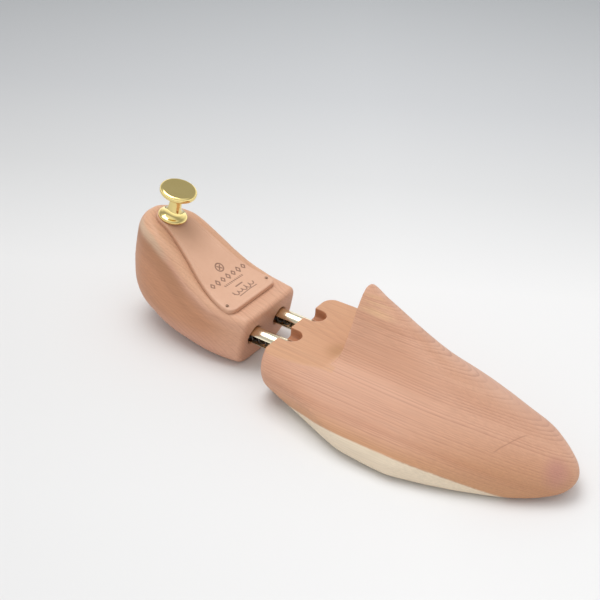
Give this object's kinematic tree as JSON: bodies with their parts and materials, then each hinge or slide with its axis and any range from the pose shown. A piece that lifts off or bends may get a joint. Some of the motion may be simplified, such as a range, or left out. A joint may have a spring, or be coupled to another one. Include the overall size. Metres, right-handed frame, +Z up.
{
  "type": "shoe tree",
  "caption": "Sprung shoe tree for a right shoe: cedar forepart and cedar heel block that slide together on brass guide tubes, with a leather heel pad and a turned brass knob.",
  "frame": {"origin": "centre of the box on the surface the tree stands on, fully extended", "axes": "+X towards the toe, +Y towards the inner side of the foot, +Z up"},
  "size_m": [0.285, 0.0977, 0.0865],
  "materials": {
    "cedar_forepart": "sanded bare red cedar",
    "cedar_heel": "sanded bare red cedar",
    "pad_leather": "smooth natural vegetable-tanned",
    "polished_brass": "polished and lacquered",
    "tube_brass": "drawn and polished",
    "steel": "plain drawn",
    "dark_steel": "blued",
    "spring_steel": "oiled spring wire"
  },
  "bodies": {
    "forepart": {"forepart_block": "cedar_forepart", "guide_tube_lateral": "tube_brass", "guide_tube_medial": "tube_brass", "tube_plug_lateral": "tube_brass", "tube_plug_medial": "tube_brass", "tube_pin_lateral": "steel", "tube_pin_medial": "steel", "spring_lateral": "spring_steel", "spring_medial": "spring_steel"},
    "heel": {"heel_block": "cedar_heel", "leather_pad": "pad_leather", "knob": "polished_brass", "knob_stud": "steel", "tack_lateral": "dark_steel", "tack_medial": "dark_steel", "cross_pin": "steel", "spring_seat_lateral": "steel", "spring_seat_medial": "steel"}
  },
  "joints": [
    {"name": "heel_slide", "type": "slide", "parent": "forepart", "child": "heel", "axis": [1, 0, 0], "range_m": [0, 0.0175], "stiffness_N_per_m": 1500, "springref_m": -0.006, "deforming": ["spring_lateral", "spring_medial"]}
  ]
}
